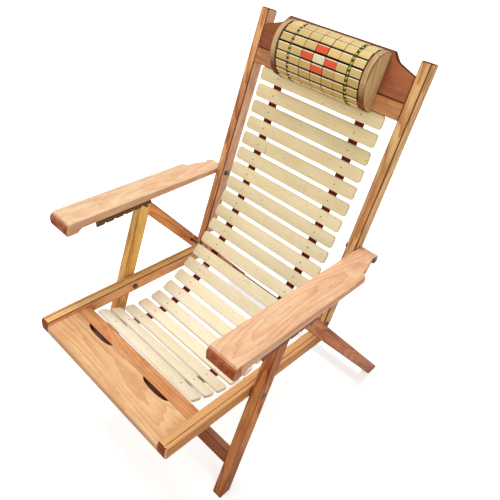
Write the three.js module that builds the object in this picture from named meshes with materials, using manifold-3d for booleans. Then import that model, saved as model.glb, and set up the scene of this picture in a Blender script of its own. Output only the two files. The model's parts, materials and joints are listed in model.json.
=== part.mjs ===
// A folding lounge chair of bamboo: two seat rails on crossed legs, a tall back that folds forward over the
// seat, armrests that ride on the legs' top pins, and a slat mat carried by two straps.
// Millimetres, +Z up, +Y to the rear, X across. The side views below are drawn as [y, z] points with
// y = 0 at the front edge of the front feet; the last lines move the origin under the middle of the chair.
import * as THREE from 'three';
import { mergeVertices } from 'three/addons/utils/BufferGeometryUtils.js';
import Module from 'manifold-3d';

const wasm = await Module();
wasm.setup();

// Fits
const seatGap = 0.3;
const cutOverrun = 2;
const trimOverrun = 110;
const cornerShare = 0.49;

// Seat rails
const railInnerHalf = 227;
const railThick = 30;
const railHigh = 36;
const railFall = THREE.MathUtils.degToRad(3.5);
const railFrontReach = 272;
const railRearReach = 291;
const railRearRound = 14;
const railFrontTopRound = 12.5;
const railFrontUnderRound = 4.3;
const grooveInset = 10;
const grooveWide = 3;
const grooveDeep = 2.5;

// Front legs
const legPivotHigh = 317;
const apexHigh = 543.3;
const frontLean = THREE.MathUtils.degToRad(20);
const legWide = 35;
const legThick = 28.5;
const railToLegGap = 2.5;
const legTopReach = 14;
const legHeadroom = 11.5;
const legTopRound = 10;
const frontStretcherDrop = 220;
const frontStretcherHigh = 38;
const frontStretcherThick = 22;

// Rear legs
const rearFootBack = 650;
const legToLegGap = 2.5;
const rearStretcherReach = 612;
const rearStretcherHigh = 38;
const rearStretcherThick = 22;
const hookDistance = 298;
const hookDepth = 13.5;
const hookFlare = THREE.MathUtils.degToRad(30);
const hookClearance = 0.5;

// Pins and bolts
const pinRadius = 4;
const nutRadius = 7.5;
const nutThick = 5.5;
const boltHeadRadius = 8;
const boltHeadThick = 4;
const flushHeadSink = 4.2;

// Back
const backPivotAhead = 274;
const backPivotLift = 39;
const backLean = THREE.MathUtils.degToRad(19.07);
const stileWide = 37;
const stileThick = 26;
const stileInset = 1;
const stileAhead = 14.8;
const stileTall = 694;
const stileCorner = 6;
const lapRadius = 18;
const lapTall = 30;
const lapShare = 0.5;
const crestBoardThick = 14;
const crestBoardSet = 4;
const crestBoardHigh = 97.7;
const crestFlatHalf = 170;
const crestShoulderDrop = 20;
const crestShoulderShare = 0.25;
const crestShoulderRound = 20;
const crestEndDrop = 38;
const crestEndRound = 2;
const crestRailHigh = 40;
const crestRailThick = 20;

// Pillow
const pillowCentre = 10;
const pillowHalf = 145;
const pillowDrop = 7;
const pillowHigh = 140;
const pillowDeep = 66;
const pillowFootPullShare = 1.1;
const pillowTopPullShare = 1.5;
const pillowCapThick = 17;
const pillowCrown = 2.5;

// Armrests
const armWide = 81;
const armFrontThick = 24.5;
const armRearThick = 15.5;
const armPivotAlong = 229.6;
const armTipReach = 18;
const armFrontReach = 512;
const armTopHigh = 585;
const armFall = THREE.MathUtils.degToRad(2.6);
const armLipDeep = 34;
const armLipLong = 33;
const armCove = 13;
const armEdgeRound = 2.5;
const armLipRound = 6;
const armTopRise = 2;
const armTongueWide = 50;
const armTongueFlare = 13;
const armTonguePad = 10.4;
const armNotchReach = 84;
const armNotchRun = 34;
const armNotchInset = 16;
const rackThick = 4;
const rackLipSetback = 40;
const rackFrontLand = 12;
const rackNotchRadius = 3.6;
const rackNotches = 5;
const rackRearPastPin = 15;

// Slat mat
const slatLong = 390;
const slatWide = 35;
const slatThick = 8;
const slatRound = 1.5;
const slatEndRound = 9;
const slatCount = 21;
const backSlats = 8;
const lumbarSlats = 5;
const strapHalf = 134;
const strapWide = 26;
const strapThick = 2.4;
const strapInset = 5;
const strapOverhang = 2;
const strapJointGap = 0.85;
const matSet = 2;
const matFrontClear = 1.9;

// Front boards
const footboardLong = 89.5;
const footboardThick = 26;
const footboardRound = 9;
const crossBoardLong = 35;
const crossBoardThick = 22;
const ventDeep = 11;
const ventLongs = [102, 95];
const ventMiddles = [-119, 108.5];
const ventBellyShare = 0.45;
const ventPullShare = 1.35;

// Places worked out from the sizes above
const railOuterHalf = railInnerHalf + railThick;
const frontLegInner = railOuterHalf + railToLegGap;
const frontLegOuter = frontLegInner + legThick;
const rearLegInner = frontLegOuter + legToLegGap;
const rearLegOuter = rearLegInner + legThick;
const stileInnerHalf = railInnerHalf + stileInset;
const stileOuterHalf = stileInnerHalf + stileThick;
const lapHalf = stileInnerHalf + stileThick * lapShare;
const armInnerHalf = stileOuterHalf + seatGap * 2;
const armOuterHalf = armInnerHalf + armWide;
const legAxisAtFloor = legWide / 2 / Math.cos(frontLean);
const legPivot = [legAxisAtFloor + legPivotHigh * Math.tan(frontLean), legPivotHigh];
const apex = [legAxisAtFloor + apexHigh * Math.tan(frontLean), apexHigh];
const rearFoot = [rearFootBack, 0];
const rearLegTurn = Math.atan2(rearFoot[1] - apex[1], rearFoot[0] - apex[0]);
const frontLegTurn = Math.PI / 2 - frontLean;
const stileTurn = Math.PI / 2 - backLean;
const backPivot = fromFrame(legPivot, -railFall, backPivotAhead, backPivotLift);
const armPivot = fromFrame(backPivot, stileTurn, armPivotAlong, 0);
const hook = fromFrame(apex, rearLegTurn, hookDistance, 0);
const crestBoardFoot = stileTall - crestBoardHigh;
const crestRailFoot = crestBoardFoot - seatGap - crestRailHigh;
const pillowFoot = crestRailFoot - pillowDrop;

// Points and outlines. A frame is a starting point and a turn; a point in it lies so far along and so far up.
function fromFrame(start, turn, along, up) {
  return [
    start[0] + along * Math.cos(turn) - up * Math.sin(turn),
    start[1] + along * Math.sin(turn) + up * Math.cos(turn),
  ];
}

function inFrame(start, turn, corners) {
  return corners.map(([along, up, round = 0]) => [...fromFrame(start, turn, along, up), round]);
}

// A closed outline through corners [a, b, round], each rounded by its own radius.
function outline(corners) {
  const shape = new THREE.Shape();
  corners.forEach((corner, i) => {
    const here = new THREE.Vector2(corner[0], corner[1]);
    const before = corners[(i + corners.length - 1) % corners.length];
    const after = corners[(i + 1) % corners.length];
    const toBefore = new THREE.Vector2(before[0], before[1]).sub(here);
    const toAfter = new THREE.Vector2(after[0], after[1]).sub(here);
    const half = Math.abs(toBefore.angleTo(toAfter)) / 2;
    const wanted = corner[2] ? corner[2] / Math.tan(half) : 0;
    const cut = Math.min(wanted, toBefore.length() * cornerShare, toAfter.length() * cornerShare);
    const start = here.clone().addScaledVector(toBefore.normalize(), cut);
    const end = here.clone().addScaledVector(toAfter.normalize(), cut);
    if (i === 0) shape.moveTo(start.x, start.y);
    else shape.lineTo(start.x, start.y);
    if (cut > 0) shape.quadraticCurveTo(here.x, here.y, end.x, end.y);
  });
  shape.closePath();
  return shape;
}

// A side view [y, z] pushed across from x0 to x1.
function across(shape, x0, x1, bevel = 0, steps = 3) {
  const geometry = new THREE.ExtrudeGeometry(shape, {
    depth: x1 - x0 - bevel * 2,
    curveSegments: steps,
    bevelEnabled: bevel > 0,
    bevelThickness: bevel,
    bevelSize: bevel,
    bevelOffset: -bevel,
    bevelSegments: 2,
  });
  geometry.translate(0, 0, x0 + bevel);
  const sideView = new THREE.Matrix4().makeBasis(
    new THREE.Vector3(0, 1, 0),
    new THREE.Vector3(0, 0, 1),
    new THREE.Vector3(1, 0, 0),
  );
  return geometry.applyMatrix4(sideView);
}

// A plan view [x, y] pushed up from z0 to z1.
function upward(shape, z0, z1, steps = 4) {
  const geometry = new THREE.ExtrudeGeometry(shape, { depth: z1 - z0, curveSegments: steps, bevelEnabled: false });
  return geometry.translate(0, 0, z0);
}

// A round bar along X from x0 to x1, centred on the side-view point.
function bar(point, radius, x0, x1, sides = 16) {
  const geometry = new THREE.CylinderGeometry(radius, radius, x1 - x0, sides);
  geometry.rotateZ(Math.PI / 2);
  return geometry.translate((x0 + x1) / 2, point[0], point[1]);
}

function toSolid(geometry) {
  const plain = geometry.clone();
  plain.deleteAttribute('normal');
  plain.deleteAttribute('uv');
  const merged = mergeVertices(plain);
  return new wasm.Manifold(new wasm.Mesh({
    numProp: 3,
    vertProperties: new Float32Array(merged.attributes.position.array),
    triVerts: new Uint32Array(merged.index.array),
  }));
}

function toGeometry(solid) {
  const mesh = solid.getMesh();
  const geometry = new THREE.BufferGeometry();
  geometry.setAttribute('position', new THREE.BufferAttribute(new Float32Array(mesh.vertProperties), 3));
  geometry.setIndex(new THREE.BufferAttribute(new Uint32Array(mesh.triVerts), 1));
  return geometry;
}

function cut(body, ...tools) {
  return toGeometry(tools.reduce((rest, tool) => rest.subtract(toSolid(tool)), toSolid(body)));
}

function join(...bodies) {
  return toGeometry(bodies.map(toSolid).reduce((all, one) => all.add(one)));
}

function common(a, b) {
  return toGeometry(toSolid(a).intersect(toSolid(b)));
}

// The other hand of a piece: mirrored in X, with its triangles turned the right way out again.
function mirrored(geometry) {
  const flipped = geometry.clone().scale(-1, 1, 1);
  const flat = flipped.index ? flipped.toNonIndexed() : flipped;
  const p = flat.attributes.position;
  for (let i = 0; i < p.count; i += 3) {
    const [x, y, z] = [p.getX(i), p.getY(i), p.getZ(i)];
    p.setXYZ(i, p.getX(i + 1), p.getY(i + 1), p.getZ(i + 1));
    p.setXYZ(i + 1, x, y, z);
  }
  return flat;
}

// Materials and the group
const looks = {
  honey: { color: 0xc98f52, roughness: 0.45, metalness: 0 },
  cream: { color: 0xe6d29c, roughness: 0.5, metalness: 0 },
  red: { color: 0x9a5238, roughness: 0.45, metalness: 0 },
  strap: { color: 0x5a1e10, roughness: 0.8, metalness: 0 },
  tile: { color: 0xe9d08e, roughness: 0.4, metalness: 0 },
  cap: { color: 0xb8925f, roughness: 0.5, metalness: 0 },
  steel: { color: 0x8c8a86, roughness: 0.35, metalness: 1 },
};
const group = new THREE.Group();

function add(name, geometry, look) {
  const mesh = new THREE.Mesh(geometry, new THREE.MeshStandardMaterial(looks[look]));
  mesh.name = name;
  group.add(mesh);
}

function addPair(name, geometry, look) {
  add(`${name}_right`, geometry, look);
  add(`${name}_left`, mirrored(geometry), look);
}

// Seat rails: rounded front end, a groove along the top, and an ear at the rear that carries the back
const railHoleRadius = pinRadius + seatGap;
const railBar = across(outline(inFrame(legPivot, -railFall, [
  [-railFrontReach, -railHigh / 2, railFrontUnderRound],
  [railRearReach, -railHigh / 2, railRearRound],
  [railRearReach, railHigh / 2, railRearRound],
  [-railFrontReach, railHigh / 2, railFrontTopRound],
])), railInnerHalf, railOuterHalf, armEdgeRound);
const ear = across(outline(inFrame(backPivot, -railFall, [
  [-lapRadius, -backPivotLift, 0],
  [lapRadius, -backPivotLift, 0],
  [lapRadius, lapRadius, lapRadius],
  [-lapRadius, lapRadius, lapRadius],
])), railInnerHalf, lapHalf - seatGap, 0, 6);
const groove = across(outline(inFrame(legPivot, -railFall, [
  [-railFrontReach - cutOverrun, railHigh / 2 - grooveDeep],
  [railRearReach + cutOverrun, railHigh / 2 - grooveDeep],
  [railRearReach + cutOverrun, railHigh / 2 + cutOverrun],
  [-railFrontReach - cutOverrun, railHigh / 2 + cutOverrun],
])), railOuterHalf - grooveInset, railOuterHalf - grooveInset + grooveWide);
addPair('seat_rail', cut(
  join(cut(railBar, groove), ear),
  bar(legPivot, railHoleRadius, railInnerHalf - cutOverrun, railOuterHalf + cutOverrun),
  bar(hook, railHoleRadius, railInnerHalf - cutOverrun, railOuterHalf + cutOverrun),
  bar(backPivot, railHoleRadius, railInnerHalf - cutOverrun, railOuterHalf + cutOverrun),
), 'honey');

// Boards between the rails at the front: a footboard with a rounded nose and two leaf-shaped vents, then a
// plain cross board
const boardHalf = railInnerHalf - seatGap;
const footboardStart = -railFrontReach;
const footboardEnd = footboardStart + footboardLong;
const footboard = across(outline(inFrame(legPivot, -railFall, [
  [footboardStart, -railHigh / 2, footboardRound / 2],
  [footboardEnd, -railHigh / 2],
  [footboardEnd, -railHigh / 2 + footboardThick],
  [footboardStart, -railHigh / 2 + footboardThick, footboardRound],
])), -boardHalf, boardHalf);
const ventY = fromFrame(legPivot, -railFall, footboardEnd, 0)[0];
function vent(middle, long) {
  const leaf = new THREE.Shape();
  leaf.moveTo(middle - long / 2, ventY + cutOverrun);
  leaf.lineTo(middle - long / 2, ventY);
  leaf.bezierCurveTo(
    middle - long * ventBellyShare, ventY - ventDeep * ventPullShare,
    middle + long * ventBellyShare, ventY - ventDeep * ventPullShare,
    middle + long / 2, ventY,
  );
  leaf.lineTo(middle + long / 2, ventY + cutOverrun);
  leaf.closePath();
  return upward(leaf, legPivotHigh - railHigh, legPivotHigh + railHigh * 2, 10);
}
add('footboard', cut(footboard, ...ventLongs.map((long, i) => vent(ventMiddles[i], long))), 'honey');
const crossStart = footboardEnd + seatGap;
add('front_cross_board', across(outline(inFrame(legPivot, -railFall, [
  [crossStart, -railHigh / 2 + footboardThick - crossBoardThick],
  [crossStart + crossBoardLong, -railHigh / 2 + footboardThick - crossBoardThick],
  [crossStart + crossBoardLong, -railHigh / 2 + footboardThick, slatRound],
  [crossStart, -railHigh / 2 + footboardThick],
])), -boardHalf, boardHalf), 'red');

// Hook rod: a threaded rod that ties the rails at the rear, with a nut inside each rail. Its ends are the pins
// that the rear legs hook onto.
const rodHalf = rearLegInner + hookDepth - seatGap;
const rodNutEnd = railInnerHalf - seatGap;
add('hook_rod', join(
  bar(hook, pinRadius, -rodHalf, rodHalf),
  bar(hook, nutRadius, rodNutEnd - nutThick, rodNutEnd, 6),
  bar(hook, nutRadius, -rodNutEnd, -rodNutEnd + nutThick, 6),
), 'steel');

// A bolt along X: a domed head at x1, a shank, and a hexagon nut at x0, both seated a small gap off the wood
function bolt(point, x0, x1, headThick = boltHeadThick) {
  const nutEnd = x0 - seatGap;
  const headStart = x1 + seatGap;
  return join(
    bar(point, pinRadius, nutEnd - nutThick - cutOverrun, headStart + headThick / 2),
    bar(point, nutRadius, nutEnd - nutThick, nutEnd, 6),
    bar(point, boltHeadRadius, headStart, headStart + headThick),
  );
}
const flushHeadThick = flushHeadSink - seatGap * 2;
addPair('leg_pivot_bolt', bolt(legPivot, railInnerHalf, frontLegOuter - flushHeadSink, flushHeadThick), 'steel');

// Front legs: a post cut level at the floor and just under the armrest, bored for the leg bolt and the top pin
const footToPivot = legPivotHigh / Math.cos(frontLean);
const pivotToApex = (apexHigh - legPivotHigh) / Math.cos(frontLean);
function trimPost(post) {
  const slab = (z0, z1) => upward(outline([
    [-armOuterHalf, -trimOverrun],
    [armOuterHalf, -trimOverrun],
    [armOuterHalf, rearFootBack + trimOverrun],
    [-armOuterHalf, rearFootBack + trimOverrun],
  ]), z0, z1);
  return cut(post, slab(-trimOverrun, 0), slab(apexHigh + legHeadroom, apexHigh + trimOverrun));
}
const frontPost = trimPost(across(outline(inFrame(legPivot, frontLegTurn, [
  [-footToPivot - legWide, -legWide / 2],
  [pivotToApex + legTopReach, -legWide / 2, legTopRound],
  [pivotToApex + legTopReach, legWide / 2, legTopRound],
  [-footToPivot - legWide, legWide / 2],
])), frontLegInner, frontLegOuter, armEdgeRound));
addPair('front_leg', cut(
  frontPost,
  bar(legPivot, railHoleRadius, frontLegInner - cutOverrun, frontLegOuter + cutOverrun),
  bar(legPivot, boltHeadRadius + seatGap, frontLegOuter - flushHeadSink, frontLegOuter + cutOverrun),
  bar(apex, railHoleRadius, frontLegInner - cutOverrun, frontLegOuter + cutOverrun),
), 'honey');
add('front_stretcher', across(outline(inFrame(legPivot, frontLegTurn, [
  [-frontStretcherDrop - frontStretcherHigh / 2, legWide / 2 - frontStretcherThick, slatRound],
  [-frontStretcherDrop + frontStretcherHigh / 2, legWide / 2 - frontStretcherThick, slatRound],
  [-frontStretcherDrop + frontStretcherHigh / 2, legWide / 2, slatRound],
  [-frontStretcherDrop - frontStretcherHigh / 2, legWide / 2, slatRound],
])), -frontLegInner + seatGap, frontLegInner - seatGap), 'honey');

// Top pins: each joins a front and a rear leg and carries the armrest's racks on its two ends
const rackOuterHalf = armOuterHalf - armEdgeRound;
const rackInnerHalf = armInnerHalf + seatGap;
addPair('apex_pin', join(
  bar(apex, pinRadius, rackInnerHalf, rackOuterHalf),
  bar(apex, nutRadius, rearLegOuter + seatGap, rearLegOuter + seatGap + nutThick, 6),
), 'steel');

// Rear legs: a longer post whose inner face has a blind hook slot that drops over the rod's end
const rearLegLong = Math.hypot(rearFoot[0] - apex[0], rearFoot[1] - apex[1]);
const rearPost = trimPost(across(outline(inFrame(apex, rearLegTurn, [
  [-legTopReach, -legWide / 2, legTopRound],
  [rearLegLong + legWide, -legWide / 2],
  [rearLegLong + legWide, legWide / 2],
  [-legTopReach, legWide / 2, legTopRound],
])), rearLegInner, rearLegOuter, armEdgeRound));
const slotHalf = pinRadius + hookClearance;
const slotTop = legWide / 2 + cutOverrun;
const hookSlot = across(outline(inFrame(apex, rearLegTurn, [
  [hookDistance - slotHalf, -slotHalf, slotHalf],
  [hookDistance + slotHalf, -slotHalf, slotHalf],
  [hookDistance + slotHalf, slotTop],
  [hookDistance - slotHalf - slotTop * Math.tan(hookFlare), slotTop],
])), rearLegInner - cutOverrun, rearLegInner + hookDepth, 0, 6);
addPair('rear_leg', cut(
  rearPost,
  hookSlot,
  bar(apex, railHoleRadius, rearLegInner - cutOverrun, rearLegOuter + cutOverrun),
), 'honey');
add('rear_stretcher', across(outline(inFrame(apex, rearLegTurn, [
  [rearStretcherReach - rearStretcherHigh / 2, -rearStretcherThick / 2, slatRound],
  [rearStretcherReach + rearStretcherHigh / 2, -rearStretcherThick / 2, slatRound],
  [rearStretcherReach + rearStretcherHigh / 2, rearStretcherThick / 2, slatRound],
  [rearStretcherReach - rearStretcherHigh / 2, rearStretcherThick / 2, slatRound],
])), -rearLegInner + seatGap, rearLegInner - seatGap), 'honey');

// Back stiles: squared top with eased corners, a lower end halved to lap the rail's ear, and a heel cut back
// so that it clears the rail as the back reclines
const stile = across(outline(inFrame(backPivot, stileTurn, [
  [-lapRadius, -lapRadius / 2, lapRadius / 2],
  [0, stileAhead - stileWide, lapRadius],
  [stileTall, stileAhead - stileWide, stileCorner],
  [stileTall, stileAhead, stileCorner],
  [-lapRadius, stileAhead, lapRadius],
])), stileInnerHalf, stileOuterHalf, armEdgeRound);
const lapCut = across(outline(inFrame(backPivot, stileTurn, [
  [-lapRadius - stileWide, -stileWide * 2],
  [lapTall, -stileWide * 2],
  [lapTall, stileWide * 2],
  [-lapRadius - stileWide, stileWide * 2],
])), stileInnerHalf - cutOverrun, lapHalf);
addPair('stile', cut(
  stile,
  lapCut,
  bar(backPivot, railHoleRadius, stileInnerHalf - cutOverrun, stileOuterHalf + cutOverrun),
  bar(armPivot, railHoleRadius, stileInnerHalf - cutOverrun, stileOuterHalf + cutOverrun),
), 'honey');
addPair('back_pivot_bolt', bolt(backPivot, railInnerHalf, stileOuterHalf), 'steel');

// Crest: a dark board with dropped shoulders between the stiles, and a lighter rail below it
const crestHalf = stileInnerHalf - seatGap;
function onStile(geometry) {
  const place = new THREE.Matrix4().makeRotationX(-backLean);
  place.setPosition(0, backPivot[0], backPivot[1]);
  return geometry.applyMatrix4(place);
}
const crestShape = outline([
  [-crestHalf, crestBoardFoot],
  [crestHalf, crestBoardFoot],
  [crestHalf, stileTall - crestEndDrop, crestEndRound],
  [crestFlatHalf + (crestHalf - crestFlatHalf) * crestShoulderShare, stileTall - crestShoulderDrop, crestShoulderRound],
  [crestFlatHalf, stileTall, stileCorner],
  [-crestFlatHalf, stileTall, stileCorner],
  [-crestFlatHalf - (crestHalf - crestFlatHalf) * crestShoulderShare, stileTall - crestShoulderDrop, crestShoulderRound],
  [-crestHalf, stileTall - crestEndDrop, crestEndRound],
]);
const crestBoard = upward(crestShape, 0, crestBoardThick);
crestBoard.rotateX(Math.PI / 2);
crestBoard.translate(0, -stileAhead + crestBoardSet + crestBoardThick, 0);
add('crest_board', onStile(crestBoard), 'red');
add('crest_rail', across(outline(inFrame(backPivot, stileTurn, [
  [crestRailFoot, stileAhead - crestRailThick, slatRound],
  [crestRailFoot + crestRailHigh, stileAhead - crestRailThick, slatRound],
  [crestRailFoot + crestRailHigh, stileAhead, slatRound],
  [crestRailFoot, stileAhead, slatRound],
])), -crestHalf, crestHalf), 'honey');

// Pillow: a D-shaped roll against the crest, slightly crowned along its length, with a flat cap on each end
const pillowBack = stileAhead + seatGap;
function pillowSection() {
  const section = new THREE.Shape();
  const foot = fromFrame(backPivot, stileTurn, pillowFoot, pillowBack);
  const top = fromFrame(backPivot, stileTurn, pillowFoot + pillowHigh, pillowBack);
  const footPull = pillowBack + pillowDeep * pillowFootPullShare;
  const topPull = pillowBack + pillowDeep * pillowTopPullShare;
  const bellyFoot = fromFrame(backPivot, stileTurn, pillowFoot, footPull);
  const belly = fromFrame(backPivot, stileTurn, pillowFoot + pillowHigh, topPull);
  section.moveTo(...foot);
  section.bezierCurveTo(...bellyFoot, ...belly, ...top);
  section.closePath();
  return section;
}
const bodyHalf = pillowHalf - pillowCapThick - seatGap;
function crowned(geometry) {
  const p = geometry.attributes.position;
  const centre = fromFrame(backPivot, stileTurn, pillowFoot + pillowHigh / 2, pillowBack);
  for (let i = 0; i < p.count; i += 1) {
    const share = 1 - (p.getX(i) / bodyHalf) ** 2;
    const radial = new THREE.Vector2(p.getY(i) - centre[0], p.getZ(i) - centre[1]);
    const fromBack = -radial.x * Math.cos(backLean) + radial.y * Math.sin(backLean);
    const swell = 1 + (pillowCrown / pillowDeep) * share * Math.min(1, fromBack / (pillowDeep / 2));
    p.setXYZ(i, p.getX(i), centre[0] + radial.x * swell, centre[1] + radial.y * swell);
  }
  return geometry;
}
function pillowRoll() {
  const geometry = new THREE.ExtrudeGeometry(pillowSection(), {
    depth: bodyHalf * 2,
    steps: 12,
    curveSegments: 22,
    bevelEnabled: false,
  });
  geometry.translate(0, 0, -bodyHalf);
  const sideView = new THREE.Matrix4().makeBasis(
    new THREE.Vector3(0, 1, 0),
    new THREE.Vector3(0, 0, 1),
    new THREE.Vector3(1, 0, 0),
  );
  return crowned(geometry.applyMatrix4(sideView));
}
add('pillow', pillowRoll().translate(pillowCentre, 0, 0), 'tile');
const pillowCap = across(pillowSection(), pillowHalf - pillowCapThick, pillowHalf, 0, 22);
add('pillow_cap_left', mirrored(pillowCap).translate(pillowCentre, 0, 0), 'cap');
add('pillow_cap_right', pillowCap.translate(pillowCentre, 0, 0), 'cap');

// Armrests: a board that thins to the rear, with a rolled lip at the front and, behind, a notch in its outer
// edge that leaves a tongue beside the stile
const armTurn = Math.PI - armFall;
const armHalf = (along) => (
  armRearThick + (armFrontThick - armRearThick) * (along + armTipReach) / (armFrontReach + armTipReach)
) / 2;
const armTipRound = armRearThick / 2;
const armLipStart = armFrontReach - armLipLong;
const armLipUnder = armLipDeep - armHalf(armFrontReach);
const armSide = across(outline(inFrame(armPivot, armTurn, [
  [-armTipReach, armHalf(-armTipReach), armTipRound],
  [armLipStart - armCove, armHalf(armLipStart - armCove), armCove / 2],
  [armLipStart, armLipUnder, armCove / 2],
  [armFrontReach - armEdgeRound, armLipUnder, armLipRound],
  [armFrontReach, -armHalf(armFrontReach), armCove],
  [armFrontReach / 2, -armHalf(armFrontReach / 2) - armTopRise, armFrontReach / 4],
  [-armTipReach, -armHalf(-armTipReach), armTipRound],
])), armInnerHalf, armOuterHalf, armEdgeRound, 5);
const armFrontY = armPivot[0] - armFrontReach - cutOverrun;
const armTipY = armPivot[0] + armTipReach + cutOverrun;
const notchY = armPivot[0] - armNotchReach;
const tongueOuter = armInnerHalf + armTongueWide;
const armPlan = upward(outline([
  [armInnerHalf - cutOverrun, armFrontY],
  [armOuterHalf + cutOverrun, armFrontY],
  [armOuterHalf + cutOverrun, notchY + cutOverrun, armCove],
  [armOuterHalf - armNotchInset, notchY + armCove, armCove],
  [tongueOuter + armTongueFlare, notchY + armNotchRun, armCove],
  [tongueOuter, armPivot[0] - armTonguePad, armCove],
  [tongueOuter, armTipY],
  [armInnerHalf - cutOverrun, armTipY],
]), legPivotHigh, armTopHigh * 2);
function armHole(geometry) {
  return cut(geometry, bar(armPivot, railHoleRadius, armInnerHalf - cutOverrun, armOuterHalf + cutOverrun));
}
addPair('armrest', armHole(common(armSide, armPlan)), 'honey');
addPair('arm_pivot_bolt', bolt(armPivot, stileInnerHalf, tongueOuter), 'steel');

// Racks: two thin strips under each armrest, notched along the lower edge where the top pin can lodge
const rackUnder = apexHigh + pinRadius + seatGap;
const rackRear = apex[0] + rackRearPastPin;
const rackFront = armPivot[0] - armLipStart + armCove + rackLipSetback;
const rackNotchPitch = (apex[0] - rackFront - rackFrontLand) / rackNotches;
const underAt = (y) => {
  const along = (armPivot[0] - y) / Math.cos(armFall);
  return fromFrame(armPivot, armTurn, along, armHalf(along))[1] - seatGap;
};
function rack(x0, x1) {
  const strip = across(outline([
    [rackFront, rackUnder, rackThick / 2],
    [rackRear, rackUnder, rackThick / 2],
    [rackRear, underAt(rackRear)],
    [rackFront, underAt(rackFront)],
  ]), x0, x1);
  const notches = Array.from({ length: rackNotches }, (_, i) => (
    bar([apex[0] - (i + 0.5) * rackNotchPitch, rackUnder], rackNotchRadius, x0 - cutOverrun, x1 + cutOverrun, 12)
  ));
  return cut(strip, ...notches);
}
addPair('inner_rack', rack(rackInnerHalf, rackInnerHalf + rackThick), 'red');
addPair('outer_rack', rack(rackOuterHalf - rackThick, rackOuterHalf), 'red');

// Slat mat: slats at an even pitch along the hollow line that the sitter lies on. The line's control points
// are shares of the mat's run forward and of its fall, chosen by hand from the crest down to the front board.
const matEnd = slatWide / 2 + seatGap;
const matTop = fromFrame(backPivot, stileTurn, crestRailFoot - matEnd, stileAhead - matSet);
const matFrontAlong = crossStart + crossBoardLong + matEnd + matFrontClear;
const matFront = fromFrame(legPivot, -railFall, matFrontAlong, footboardThick - railHigh / 2);
const matLineShares = [
  [0, 0], [0.05, 0.166], [0.105, 0.331], [0.171, 0.493], [0.238, 0.655], [0.326, 0.812], [0.437, 0.944],
  [0.568, 1.045], [0.694, 1.09], [0.779, 1.09], [0.853, 1.077], [0.927, 1.044], [1, 1],
];
const matPoint = ([forward, down]) => new THREE.Vector2(
  matTop[0] + (matFront[0] - matTop[0]) * forward,
  matTop[1] + (matFront[1] - matTop[1]) * down,
);
const matLine = new THREE.SplineCurve(matLineShares.map(matPoint));
const slatStep = 1 / (slatCount - 1);

// Where a slat lies: its middle on the line, and the turn of the line there
function matFrame(share) {
  const point = matLine.getPointAt(Math.min(1, Math.max(0, share)));
  const run = matLine.getTangentAt(Math.min(1, Math.max(0, share)));
  return { start: [point.x, point.y], turn: Math.atan2(run.y, run.x) };
}

// A slat has softened long edges and rounded corners in plan. The back of the mat is to the left of the line's
// run, which comes down the back and then forward along the seat.
const slatBar = across(outline([
  [-slatWide / 2, 0, slatRound],
  [slatWide / 2, 0, slatRound],
  [slatWide / 2, slatThick, slatRound],
  [-slatWide / 2, slatThick, slatRound],
]), -slatLong / 2 - cutOverrun, slatLong / 2 + cutOverrun, 0, 2);
const slatPlan = upward(outline([
  [-slatLong / 2, -slatWide / 2, slatEndRound],
  [slatLong / 2, -slatWide / 2, slatEndRound],
  [slatLong / 2, slatWide / 2, slatEndRound],
  [-slatLong / 2, slatWide / 2, slatEndRound],
]), -cutOverrun, slatThick + cutOverrun);
const flatSlat = common(slatBar, slatPlan);
function slat(index) {
  const { start, turn } = matFrame(index * slatStep);
  return flatSlat.clone().rotateX(turn).translate(0, start[0], start[1]);
}

// A strap lies flat on the back of each slat of its run and goes straight over the gaps between. It ends short
// of the edge of the mat's first or last slat. The lumbar strap runs on until its ends meet its neighbours'.
function strap(first, count, meetsNeighbours) {
  const reach = slatWide / 2;
  const jointEnd = reach + strapOverhang;
  const topEnd = first === 0 ? reach - strapInset : jointEnd;
  const frontEnd = first + count === slatCount ? reach - strapInset : jointEnd;
  const side = (depth) => {
    const onSlat = (index, along) => {
      const { start, turn } = matFrame(index * slatStep);
      return fromFrame(start, turn, along, depth);
    };
    const points = Array.from({ length: count }, (_, i) => [
      onSlat(first + i, -reach),
      onSlat(first + i, reach),
    ]).flat();
    if (meetsNeighbours) {
      const joint = jointEnd + strapJointGap;
      return [onSlat(first - 1, joint), ...points, onSlat(first + count, -joint)];
    }
    return [onSlat(first, -topEnd), ...points.slice(1, -1), onSlat(first + count - 1, frontEnd)];
  };
  const near = side(slatThick + seatGap);
  const far = side(slatThick + seatGap + strapThick).reverse();
  return across(outline([...near, ...far]), strapHalf - strapWide / 2, strapHalf + strapWide / 2);
}
const matParts = [
  ['back', 0, backSlats],
  ['lumbar', backSlats, lumbarSlats],
  ['seat', backSlats + lumbarSlats, slatCount - backSlats - lumbarSlats],
];
for (const [part, first, count] of matParts) {
  for (let i = 0; i < count; i += 1) add(`${part}_slat_${i + 1}`, slat(first + i), 'cream');
  addPair(`${part}_strap`, strap(first, count, part === 'lumbar'), 'strap');
}

// Origin under the middle of the chair
const frontReachY = fromFrame(legPivot, -railFall, -railFrontReach, 0)[0];
const rearReachY = rearFootBack + legWide / 2 / Math.sin(-rearLegTurn);
group.children.forEach((mesh) => mesh.geometry.translate(0, -(frontReachY + rearReachY) / 2, 0));

export default group;
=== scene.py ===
import json
import math
import random

import bmesh
import bpy
from mathutils import Matrix, Vector


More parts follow.
